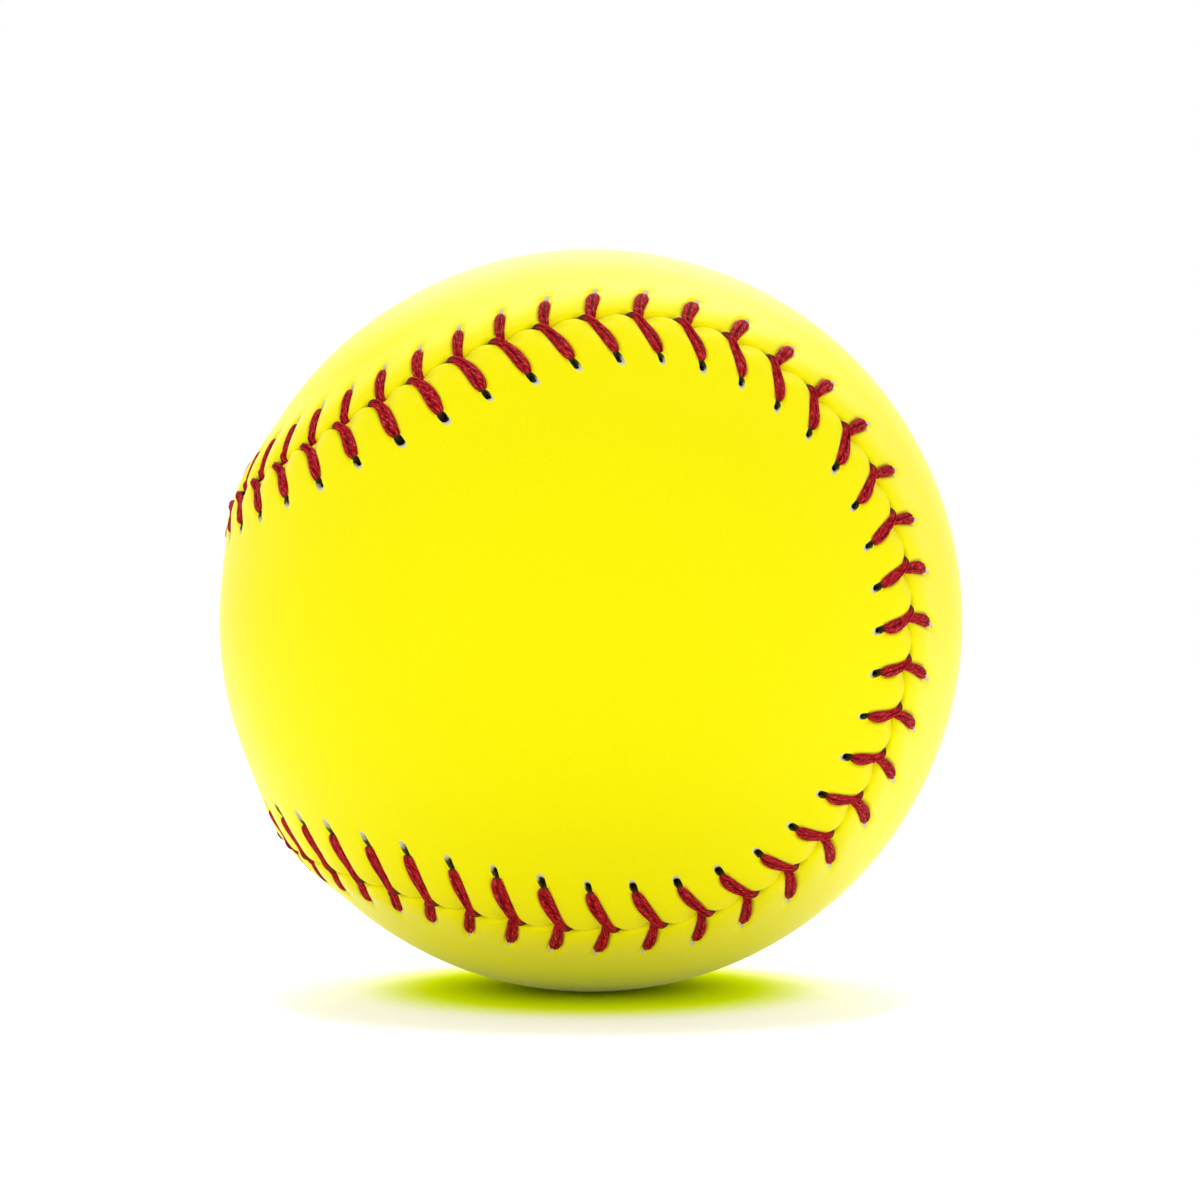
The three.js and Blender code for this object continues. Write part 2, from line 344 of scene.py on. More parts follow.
def leather_height(side, place, inset):
    """Height of the cover's outside. Whole numbers of the place are valleys between pillows."""
    shift = VALLEY_SHIFT * (1 - ease(inset, 0, VALLEY_STRAIGHT)) if side == NEAR else 0
    crest = 0.5 - 0.5 * np.cos(2 * math.pi * (place - shift / PITCH))
    pillow = PILLOW_HEIGHT * (crest ** PILLOW_BREADTH - PILLOW_SINK)
    pillow = pillow * bell(inset - PILLOW_CREST, PILLOW_REACH)
    # At the edge both panels are pulled down where the far leg comes out.
    dip = DIP_DEPTH * bell(along_from(side, place, DIP_LEAD), DIP_LENGTH) * bell(inset, DIP_WIDTH)
    dimple = DIMPLE_DEPTH * bell(inset - HOLE_MIDDLE[side], DIMPLE_REACH)
    dimple = dimple * (1 - crest) ** DIMPLE_SHARPNESS
    # The tight thread presses a bed for itself.
    bed = BED_DEPTH * (1 - ease(beside_leg(side, place, inset), 0.0, BED_EDGE))
    bed = bed * ease(inset, *BED_START) * (1 - ease(inset, *BED_END))
    return ridge(inset) + pillow - dip - dimple - bed


def uneven(spots, size, depth, seed):
    """A soft unevenness of the hide: a sum of waves in random directions."""
    draw = np.random.default_rng(seed)
    waves = 9
    total = np.zeros(spots.shape[:-1])
    for _ in range(waves):
        heading = draw.normal(size=3)
        heading *= 2 * math.pi / (size * MM * np.linalg.norm(heading)) * draw.uniform(0.6, 1.5)
        total += np.sin(spots @ heading + draw.uniform(0, 2 * math.pi))
    return total * depth / math.sqrt(waves)


def make_object(name, points, faces, materials, sharp=None):
    """A smooth mesh object, with edges kept sharp where they turn by more than so many degrees."""
    mesh = bpy.data.meshes.new(name)
    mesh.from_pydata([tuple(point) for point in points], [], faces)
    for material in materials:
        mesh.materials.append(material)
    mesh.shade_smooth()
    if sharp:
        mesh.set_sharp_from_angle(angle=math.radians(sharp))
    obj = bpy.data.objects.new(name, mesh)
    bpy.context.scene.collection.objects.link(obj)
    return obj


def zip_rows(points, left, right):
    """Triangles between two rows of points that may differ in number."""
    def apart(first, second):
        span = points[first] - points[second]
        return np.dot(span, span)

    faces = []
    i = 0
    j = 0
    while i < len(left) - 1 or j < len(right) - 1:
        left_done = i == len(left) - 1
        right_done = j == len(right) - 1
        if left_done:
            by_left = False
        elif right_done:
            by_left = True
        else:
            by_left = apart(left[i + 1], right[j]) <= apart(left[i], right[j + 1])
        if by_left:
            faces.append((left[i], left[i + 1], right[j]))
            i += 1
        else:
            faces.append((left[i], right[j + 1], right[j]))
            j += 1
    return faces


def row_insets():
    """Insets of the mesh rows: lip, pillow, hole, foot."""
    lip = LIP_RADIUS * (1 - np.cos(np.radians(LIP_TURNS)))
    pillow = np.arange(lip[-1] + 0.3, HOLE_ROWS[0], PILLOW_STEP)
    hole = np.arange(*HOLE_ROWS, HOLE_STEP)
    foot = np.linspace(HOLE_ROWS[1] + 0.25, FOOT, FOOT_ROWS)
    return np.concatenate([lip, pillow, hole, foot])


def nearest_hole(side, place):
    """Inset of the nearest hole's middle, its half width and its half length."""
    stitch = np.round(place).astype(int) % STITCHES
    grow = HOLE_SIZE[side][stitch]
    middle = HOLE_MIDDLE[side] + HOLE_STRAY[side][stitch]
    return middle, HOLE_HALF_WIDTH[side] * grow, HOLE_HALF_LENGTH[side] * grow


def within_hole(side, place, inset):
    """Where a spot lies in the nearest hole, in shares of its half width and half length."""
    middle, half_width, half_length = nearest_hole(side, place)
    beside = (place - np.round(place)) * PITCH / half_width
    along = (inset - middle) / half_length
    return beside, along


def hole_reach(side, beside, along):
    """0 in the middle of a hole, and 1 on its outline, which is a squarish oval."""
    power = HOLE_SQUARENESS[side]
    return (np.abs(beside) ** power + np.abs(along) ** power) ** (1 / power)


def open_cells(side, place, insets):
    """Which cells of a panel's grid have their middle in a hole."""
    cell_place = place[:-1] + 0.5 / COLUMNS_PER_STITCH
    cell_inset = (insets[:-1, None] + insets[1:, None]) / 2
    return hole_reach(side, *within_hole(side, cell_place, cell_inset)) < 1


def corners_on_rims(is_open):
    """Which corners of the grid touch both an open cell and a shut one."""
    rows, columns = is_open.shape
    touches_open = np.zeros((rows + 1, columns), bool)
    touches_shut = np.zeros((rows + 1, columns), bool)
    for shift_row in (0, 1):
        for shift_column in (0, 1):
            window = slice(shift_row, rows + shift_row)
            beside = np.roll(is_open, shift_column, axis=1)
            touches_open[window] |= beside
            touches_shut[window] |= ~beside
    return touches_open & touches_shut


def panel_spots(side, place, inset, height):
    """Points of a panel in the part's frame, with the slits and bulges of its edge."""
    at_lip = bell(inset, LIP_REACH)
    slit = along_from(side, place, 0.0)
    gap = SHUT_GAP + SLIT_GAP * bell(slit, SLIT_REACH)
    bulge = LIP_BULGE * np.sin(math.pi * slit / PITCH) ** 2
    across = sewn_across(side, place, inset + gap * at_lip) + bulge * at_lip
    along = (place + FIRST_STITCH) * PITCH + lean(side, inset) + sewn_along(side, place, inset)
    return beside_seam(along, across, height)


def edge_walls(cells, is_open, on_slope, count):
    """The wall of each hole, which goes down by way of its slope, and the cut edge of the seam.

    A point of the flesh side comes `count` places after its partner on the outside, and
    `on_slope` gives the partner on the slope.
    """
    walls = []
    sides = [
        (cells[..., [0, 1]], np.roll(is_open, 1, axis=0)),
        (cells[..., [1, 2]], np.roll(is_open, -1, axis=1)),
        (cells[..., [2, 3]], np.roll(is_open, -1, axis=0)),
        (cells[..., [3, 0]], np.roll(is_open, 1, axis=1)),
    ]
    for edges, neighbour_open in sides:
        rim = edges[is_open & ~neighbour_open]
        ledge = on_slope[rim]
        inner = rim + count
        walls.append(np.stack([rim[:, 0], rim[:, 1], ledge[:, 1], ledge[:, 0]], axis=-1))
        walls.append(np.stack([ledge[:, 0], ledge[:, 1], inner[:, 1], inner[:, 0]], axis=-1))
    lip = cells[0][:, [0, 1]]
    walls.append(np.stack([lip[:, 0] + count, lip[:, 1] + count, lip[:, 1], lip[:, 0]], axis=-1))
    return np.concatenate(walls)


def broad_field(points, side, edge_row, height):
    """Fills a panel's broad field with rows of points that cross it, and adds them to the rest."""
    loop_count = COLUMNS_PER_STITCH * STITCHES // 4
    along = (np.arange(loop_count) / loop_count * STITCHES + FIRST_STITCH) * PITCH
    along = along + lean(side, FOOT)
    across = np.full(loop_count, side * (FOOT + FIELD_STEP) + SEAM_SHIFT)
    start = len(points)
    points.extend(beside_seam(along, across, np.full(loop_count, height)))
    loop = list(range(start, start + loop_count))
    faces = zip_rows(points, [*edge_row, edge_row[0]], [*loop, loop[0]])

    # The rows run between points of the loop that mirror each other about the panel's end.
    end_along = 0.25 * SEAM_LENGTH if side == NEAR else 0
    end = int(round((end_along - along[0]) / SEAM_LENGTH * loop_count))
    last = [loop[end % loop_count]]
    for step in range(1, loop_count // 2 + 1):
        first = loop[(end + step) % loop_count]
        final = loop[(end - step) % loop_count]
        row = [first]
        if first != final:
            span = points[final] - points[first]
            pieces = max(1, round(np.linalg.norm(span) / (FIELD_STEP * MM)))
            for piece in range(1, pieces):
                spot = points[first] + span * piece / pieces
                row.append(len(points))
                points.append(spot * (BALL_RADIUS + height) * MM / np.linalg.norm(spot))
            row.append(final)
        faces += zip_rows(points, row, last)
        last = row
    return faces


def mark_points(piece, name, values):
    """Stores a value for each of a piece's first points. The others get 0."""
    padded = np.zeros(len(piece.data.vertices), np.float32)
    padded[:len(values)] = values
    layer = piece.data.attributes.new(name, "FLOAT", "POINT")
    layer.data.foreach_set("value", padded)


def leather_panel(name, side, materials):
    """One panel as a closed shell: outside, flesh side, rolled edge, pierced holes."""
    insets = row_insets()
    columns = COLUMNS_PER_STITCH * STITCHES
    shape = (len(insets), columns)
    place = np.broadcast_to(np.arange(columns) / COLUMNS_PER_STITCH, shape)
    inset = np.broadcast_to(insets[:, None], shape)
    is_open = open_cells(side, place, insets)
    on_rim = corners_on_rims(is_open)

    # Each corner on the rim of a hole is drawn onto the hole's true outline, and its partner on
    # the flesh side onto the closed-up outline, which keeps to the mouth's end.
    middle, half_width, half_length = nearest_hole(side, place)
    beside, along = within_hole(side, place, inset)
    reach = np.where(on_rim, hole_reach(side, beside, along), 1)
    beside = beside / reach
    along = along / reach
    rim_inset = middle + along * half_length
    outer_place = np.where(on_rim, np.round(place) + beside * half_width / PITCH, place)
    outer_inset = np.where(on_rim, rim_inset, inset)
    inner_place = np.round(place) + beside * half_width * INNER_WIDTH / PITCH
    inner_inset = rim_inset - (along + 1) * half_length * (1 - INNER_LENGTH)
    inner_place = np.where(on_rim, inner_place, place)
    inner_inset = np.where(on_rim, inner_inset, inset)
    slope_place = outer_place + (inner_place - outer_place) * SLOPE_IN
    slope_inset = outer_inset + (inner_inset - outer_inset) * SLOPE_IN

    outer_height = leather_height(side, outer_place, outer_inset) - lip_drop(outer_inset)
    level = panel_spots(side, outer_place, outer_inset, outer_height)
    fade = np.clip((FOOT - outer_inset) / HIDE_FADE, 0, 1)
    outer_height = outer_height + uneven(level, HIDE_WAVE, HIDE_DEPTH, seed=5) * fade
    inner_height = flesh_height(inner_inset)
    slope_height = outer_height + (inner_height - outer_height) * SLOPE_DOWN
    outer = panel_spots(side, outer_place, outer_inset, outer_height)
    inner = panel_spots(side, inner_place, inner_inset, inner_height)
    slope = panel_spots(side, slope_place, slope_inset, slope_height)

    # The points stand in blocks: outside, flesh side, slopes of the holes, broad fields.
    points = [*outer.reshape(-1, 3), *inner.reshape(-1, 3), *slope[on_rim]]
    count = place.size
    on_slope = np.zeros(count, int)
    on_slope[on_rim.ravel()] = 2 * count + np.arange(on_rim.sum())
    index = np.arange(count).reshape(shape)
    after = np.roll(index, -1, axis=1)
    cells = np.stack([index[:-1], after[:-1], after[1:], index[1:]], axis=-1)
    shut = cells[~is_open]
    faces = shut.tolist()
    faces += (shut[:, ::-1] + count).tolist()
    faces += edge_walls(cells, is_open, on_slope, count).tolist()
    raw_end = len(faces)
    faces += broad_field(points, side, index[-1].tolist(), 0.0)
    grain_end = len(faces)
    flesh_field = broad_field(points, side, (index[-1] + count).tolist(), -COVER_THICKNESS)
    faces += [face[::-1] for face in flesh_field]
    if side == NEAR:
        faces = [face[::-1] for face in faces]

    flat_height = -math.sqrt(BALL_RADIUS ** 2 - RESTING_FLAT ** 2) * MM
    points = np.array(points)
    points[:, 2] = np.maximum(points[:, 2], flat_height)
    panel = make_object(name, points, faces, materials, SHARP_TURN)

    # Slot 0 is the finished grain side. Slot 1 is raw leather: the flesh side and each cut.
    raw = np.ones(len(faces), np.int32)
    raw[:len(shut)] = 0
    raw[raw_end:grain_end] = 0
    panel.data.polygons.foreach_set("material_index", raw)

    # Shade is painted on the holes' walls where the thread goes in, and on the seam's cut.
    shaded_to = HOLE_SHADED_TO[np.round(place).astype(int) % STITCHES]
    wall_shade = 1 - ease(along, shaded_to - WALL_SHADE_FADE, shaded_to)
    wall_shade = np.where(on_rim, wall_shade, 0) * HOLE_WALL_SHADE[side]
    wall_shade[0] = 1
    mark_points(panel, "wall_shade_painted", np.concatenate([wall_shade.ravel(), wall_shade.ravel(), wall_shade[on_rim]]))

    # Shade is painted on the grain beside each leg as well, with a little dirt, between the lip
    # and the hole's mouth.
    mouth = HOLE_MIDDLE[side] - MOUTH_SHIFT[side]
    contact_shade = bell(beside_leg(side, outer_place, outer_inset) - CONTACT_SHADE_MIDDLE, CONTACT_SHADE_REACH)
    contact_shade = contact_shade * ease(outer_inset, *CONTACT_SHADE_START)
    contact_shade = contact_shade * (1 - ease(outer_inset - mouth, *CONTACT_SHADE_END))
    mark_points(panel, "thread_contact_shade", contact_shade.ravel())
    return panel


def seat(side, inset):
    """Height of the thread's middle where it lies on the leather, in a valley."""
    leather = leather_height(side, np.array(0.0), np.array(inset)) - lip_drop(inset)
    return float(leather) + THREAD_SEATING * THREAD_THICKNESS / 2


def leg_route(side, number):
    """Hand-set points of the thread up to one hole and along the leg that starts there.

    Each has a distance along the seam and one across it, a height, a width, a thickness and painted
    shade.
    """
    start = (number + FIRST_STITCH) * PITCH
    route = []

    def add(ahead, inset, height, width, thickness=THREAD_THICKNESS, sunk_shade=0):
        along = start + ahead + sewn_along(side, number, inset)
        across = sewn_across(side, number, inset)
        route.append((along, across, height, width * THREAD_PLUMP[side][number], thickness, sunk_shade))

    # Under the cover, on the way from the last leg's end to this leg's hole.
    backward = -3.4 if side == NEAR else -4.6
    add(backward, 2.3, HIDDEN_HEIGHT, 0.7, 0.6)
    add(backward + 2.9, 4.7, HIDDEN_HEIGHT, 0.7, 0.6)

    # Up through the mouth of the hole, where it is squeezed.
    mouth = HOLE_MIDDLE[side] + HOLE_STRAY[side][number] - MOUTH_SHIFT[side]
    ahead = lean(side, mouth)
    end_width = LEG_END_WIDTH[side]
    sunk_shade = END_SHADE[side]
    add(ahead - 0.5, mouth + 0.1, HIDDEN_HEIGHT, 0.75, 0.6, sunk_shade)
    add(ahead, mouth + 0.14, -0.9, end_width * 0.66, 0.42, sunk_shade)
    add(ahead, mouth + 0.16, -0.45, end_width * 0.72, 0.36, sunk_shade)
    add(ahead, mouth + 0.12, 0.0, end_width * 0.84, 0.38, sunk_shade)
    add(ahead, mouth - 0.04, seat(side, mouth) - 0.02, end_width, 0.52)

    # Over the leather.
    for inset, width in LEG_WIDTHS[side]:
        ahead = lean(side, inset) + leg_bend(side, number, inset)
        add(ahead, inset, seat(side, inset), width)

    # Down through the seam: the near leg by way of the V's tip, where shade is painted, the far leg
    # under it.
    if side == NEAR:
        add(0.95, 0.62, seat(side, 0.62) + 0.04, 0.96, sunk_shade=0.1)
        add(0.42, 0.25, seat(side, 0.3) - 0.02, 0.7, sunk_shade=0.65)
        add(-0.02, -0.04, 0.2, 0.5, 0.6, sunk_shade=1)
        add(-0.26, -0.2, -0.3, 0.55, 0.55, sunk_shade=1)
        add(-0.3, -0.6, -1.0, 0.6, 0.6)
    else:
        add(1.5, 0.75, 0.4, 1.08)
        add(1.42, 0.25, 0.0, 0.98)
        add(1.38, -0.12, -0.5, 0.8)
        add(1.45, -0.5, -1.1, 0.7)
    return route


def thread_route(first_side):
    """One needle's whole route. It changes sides at each stitch."""
    route = []
    for number in range(STITCHES):
        route += leg_route(first_side if number % 2 == 0 else -first_side, number)
    return np.array(route, float)


def smooth_loop(route):
    """A smooth closed line through the points, with a few rings from each to the next."""
    before = np.roll(route, 1, axis=0)
    after = np.roll(route, -1, axis=0)
    beyond = np.roll(route, -2, axis=0)
    before[0, 0] -= SEAM_LENGTH
    after[-1, 0] += SEAM_LENGTH
    beyond[-2:, 0] += SEAM_LENGTH
    share = (np.arange(RINGS_PER_POINT) / RINGS_PER_POINT)[None, :, None]
    p0, p1, p2, p3 = (row[:, None, :] for row in (before, route, after, beyond))
    line = 0.5 * (
        2 * p1
        + (p2 - p0) * share
        + (2 * p0 - 5 * p1 + 4 * p2 - p3) * share ** 2
        + (3 * p1 - p0 - 3 * p2 + p3) * share ** 3
    )
    return line.reshape(-1, route.shape[1])


def ribbon_axes(middle):
    """Where the ribbon's broad side and its depth point at each ring, and how many half turns it
    makes on its whole way round the ball."""
    ahead = np.roll(middle, -1, axis=0) - np.roll(middle, 1, axis=0)
    ahead[0, 0] += SEAM_LENGTH
    ahead[-1, 0] += SEAM_LENGTH
    ahead /= np.linalg.norm(ahead, axis=1, keepdims=True)

    # The ribbon's broad side lies level. Its bearing is known where the thread runs level too,
    # and it turns evenly between those stretches, where the thread goes down or comes up.
    level = np.hypot(ahead[:, 0], ahead[:, 1]) > LEVEL_SHARE
    bearing = np.arctan2(ahead[:, 1], ahead[:, 0]) + math.pi / 2
    steady = np.unwrap(bearing[level], period=math.pi)
    rings = np.arange(len(middle))
    bearing = np.interp(rings, np.flatnonzero(level), steady)
    broad = np.stack([np.cos(bearing), np.sin(bearing), np.zeros(len(middle))], axis=1)
    deep = np.cross(ahead, broad)
    deep /= np.linalg.norm(deep, axis=1, keepdims=True)
    broad = np.cross(deep, ahead)
    return broad, deep, int(round((steady[-1] - steady[0]) / math.pi))


def ply_groove(run, turn):
    """Depth of the groove between the two plies, on both faces. It wanders and fades a little."""
    drift = 0.22 * np.sin(run / 7.3) + 0.14 * np.sin(run / 1.9)
    depth = 0.72 + 0.28 * np.sin(run / 1.3 + 2 * np.sin(run / 5.1))
    on_face = np.abs(np.sin(turn)) > 0.3
    return bell(np.cos(turn) - drift, GROOVE_REACH) * on_face * depth


def lay_out_fibres(thread, run, rings):
    """Lays out the fibre pattern in millimetres along and round the thread.

    Each face has its own two corners on this ring and two on the next one.
    """
    layer = thread.data.uv_layers.new(name="thread_run")
    next_run = np.append(run[1:], run[-1] + 0.1)
    girth = np.arange(THREAD_SIDES + 1) / THREAD_SIDES * THREAD_GIRTH
    uv = np.zeros((rings, THREAD_SIDES, 4, 2))
    uv[:, :, :2, 0] = run[:, None, None]
    uv[:, :, 2:, 0] = next_run[:, None, None]
    uv[:, :, [0, 3], 1] = girth[None, :-1, None]
    uv[:, :, [1, 2], 1] = girth[None, 1:, None]
    layer.data.foreach_set("uv", uv.ravel())


def waxed_ribbon(name, first_side, material):
    """One needle's thread: a flat two-ply ribbon along its whole route."""
    line = smooth_loop(thread_route(first_side))
    middle = line[:, :3]
    broad, deep, half_turns = ribbon_axes(middle)

    # The outline is a soft lozenge with a groove between its two plies on both faces, and with
    # the strands of each ply standing up from it a little.
    turn = np.arange(THREAD_SIDES) / THREAD_SIDES * 2 * math.pi
    run = np.concatenate([[0], np.cumsum(np.linalg.norm(np.diff(middle, axis=0), axis=1))])
    groove = ply_groove(run[:, None], turn[None, :])
    twist = run * STRAND_TWIST + 1.5 * np.sin(run / 3.7)
    strand = STRAND_HEIGHT * np.sin(STRANDS * turn[None, :] + twist[:, None])
    cosine = np.sign(np.cos(turn)) * np.abs(np.cos(turn)) ** OUTLINE_ACROSS
    sine = np.sign(np.sin(turn)) * np.abs(np.sin(turn)) ** OUTLINE_THROUGH
    wide = line[:, 3, None] / 2 * cosine * (1 + strand)
    tall = line[:, 4, None] / 2 * sine * (1 - GROOVE_DEPTH * groove + strand)
    corner = middle[:, None] + wide[..., None] * broad[:, None] + tall[..., None] * deep[:, None]
    points = beside_seam(corner[..., 0], corner[..., 1], corner[..., 2]).reshape(-1, 3)

    # The last ring meets the first one, which may have turned over on the way round.
    rings = len(line)
    index = np.arange(rings * THREAD_SIDES).reshape(rings, THREAD_SIDES)
    follow = np.roll(index, -1, axis=0)
    if half_turns % 2:
        follow[-1] = np.roll(index[0], THREAD_SIDES // 2)
    beside = np.roll(index, -1, axis=1)
    faces = np.stack([index, beside, np.roll(follow, -1, axis=1), follow], axis=-1)
    thread = make_object(name, points, faces.reshape(-1, 4).tolist(), [material])
    mark_points(thread, "ply_groove", groove.ravel())
    mark_points(thread, "thread_sunk_shade", np.repeat(np.clip(line[:, 5], 0, 1), THREAD_SIDES))
    lay_out_fibres(thread, run, rings)
    return thread


def colour(hex_text):
    """An sRGB hex colour as linear red, green, blue and alpha."""
    linear = []
    for place in (0, 2, 4):
        part = int(hex_text[place:place + 2], 16) / 255
        linear.append(part / 12.92 if part <= 0.04045 else ((part + 0.055) / 1.055) ** 2.4)
    return (*linear, 1.0)


def per_metre(millimetres):
    """The scale that makes a pattern repeat at this distance."""
    return 1 / (millimetres * MM)


def new_material(name):
    """A new material, its node tree and its shader."""
    material = bpy.data.materials.new(name)
    material.use_nodes = True
    tree = material.node_tree
    return material, tree, tree.nodes["Principled BSDF"]


def set_inputs(tree, node, inputs):
    """Sets each input of a node to a value, or links it to another node's output."""
    for name, value in inputs.items():
        if isinstance(value, bpy.types.NodeSocket):
            tree.links.new(value, node.inputs[name])
        else:
            node.inputs[name].default_value = value


def add_node(tree, kind, settings=None, inputs=None):
    """Adds a node with its settings, and sets or links its inputs."""
    node = tree.nodes.new(kind)
    for name, value in (settings or {}).items():
        setattr(node, name, value)
    set_inputs(tree, node, inputs or {})
    return node


def pigmented_leather():
    """Cowhide with a thick coat of optic yellow pigment, embossed smooth and sealed with a satin
    lacquer. The coat hides the hide's own colour, and only a very fine grain is left to see."""
    material, tree, leather = new_material("pigmented_leather")
    place = add_node(tree, "ShaderNodeTexCoord").outputs["Object"]
    # Grain pores are 0.35 mm apart, and broader creases 2.5 mm.
    pores = add_node(tree, "ShaderNodeTexVoronoi", {"feature": "SMOOTH_F1"},
                     {"Vector": place, "Scale": per_metre(0.35), "Smoothness": 0.6})
    creases = add_node(tree, "ShaderNodeTexNoise", None,
                       {"Vector": place, "Scale": per_metre(2.5), "Detail": 5.0,
                        "Roughness": 0.55})
    grain = add_node(tree, "ShaderNodeMath", {"operation": "MULTIPLY_ADD"},
                     {0: creases.outputs["Fac"], 1: 1.4, 2: pores.outputs["Distance"]})
    bump = add_node(tree, "ShaderNodeBump", None,
                    {"Strength": 0.18, "Distance": 0.12 * MM, "Height": grain.outputs[0]})
    # The pigment lies a shade thicker in places, some 22 mm apart.
    blotch = add_node(tree, "ShaderNodeTexNoise", None,
                      {"Vector": place, "Scale": per_metre(22), "Detail": 3.0, "Roughness": 0.5})
    tint = add_node(tree, "ShaderNodeMix", {"data_type": "RGBA"},
                    {"Factor": blotch.outputs["Fac"], "A": colour("fff500"),
                     "B": colour("fdf200")})
    # Specks of dust and dye, 0.3 mm across and some 19 mm apart.
    speck_field = add_node(tree, "ShaderNodeTexVoronoi", {"feature": "F1"},
                           {"Vector": place, "Scale": per_metre(19), "Randomness": 1.0})
    speck = add_node(tree, "ShaderNodeMath", {"operation": "LESS_THAN"},
                     {0: speck_field.outputs["Distance"], 1: 0.0075})
    speckled = add_node(tree, "ShaderNodeMix", {"data_type": "RGBA"},
                        {"Factor": speck.outputs[0], "A": tint.outputs["Result"],
                         "B": colour("a99a1a")})
    # Painted contact shade beside the thread, in patches, with a little dirt.
    contact_shade = add_node(tree, "ShaderNodeAttribute", {"attribute_name": "thread_contact_shade"})
    patchy_shade = add_node(tree, "ShaderNodeMath", {"operation": "MULTIPLY", "use_clamp": True},
                      {0: contact_shade.outputs["Fac"], 1: creases.outputs["Fac"]})
    shade_painted = add_node(tree, "ShaderNodeMix", {"data_type": "RGBA"},
                      {"Factor": patchy_shade.outputs[0], "A": speckled.outputs["Result"],
                       "B": colour("4a3c08")})
    # White surroundings mirrored in the lacquer would wash the yellow out, so its reflection is
    # held low. The sheen of the fine grain gives the pale haze at the rim of the ball.
    set_inputs(tree, leather, {
        "Base Color": shade_painted.outputs["Result"],
        "Normal": bump.outputs["Normal"],
        "Roughness": 0.45,
        "IOR": 1.5,
        "Specular IOR Level": 0.04,
        "Sheen Weight": 0.26,
        "Sheen Roughness": 0.36,
    })
    return material


def raw_leather():
    """The same cowhide where it is cut or pierced and on its flesh side: chrome-tanned fibre
    without a coat, grey-white, matt and a little fluffy."""
    material, tree, leather = new_material("raw_chrome_tanned_leather")
    place = add_node(tree, "ShaderNodeTexCoord").outputs["Object"]
    # Bundles of fibre are 0.2 mm across.
    fibre = add_node(tree, "ShaderNodeTexNoise", None,
                     {"Vector": place, "Scale": per_metre(0.2), "Detail": 4.0,
                      "Roughness": 0.65})
    shade = add_node(tree, "ShaderNodeMix", {"data_type": "RGBA"},
                     {"Factor": fibre.outputs["Fac"], "A": colour("c4c090"),
                      "B": colour("fdf8d8")})
    # Shade is painted on it in the throats of the holes and in the seam's cut.
    wall_shade = add_node(tree, "ShaderNodeAttribute", {"attribute_name": "wall_shade_painted"})
    wall_shaded = add_node(tree, "ShaderNodeMix", {"data_type": "RGBA"},
                       {"Factor": wall_shade.outputs["Fac"], "A": shade.outputs["Result"],
                        "B": colour("6c6434")})
    bump = add_node(tree, "ShaderNodeBump", None,
                    {"Strength": 0.5, "Distance": 0.1 * MM, "Height": fibre.outputs["Fac"]})
    set_inputs(tree, leather, {
        "Base Color": wall_shaded.outputs["Result"],
        "Normal": bump.outputs["Normal"],
        "Roughness": 0.9,
        "IOR": 1.5,
        "Specular IOR Level": 0.2,
    })
    return material


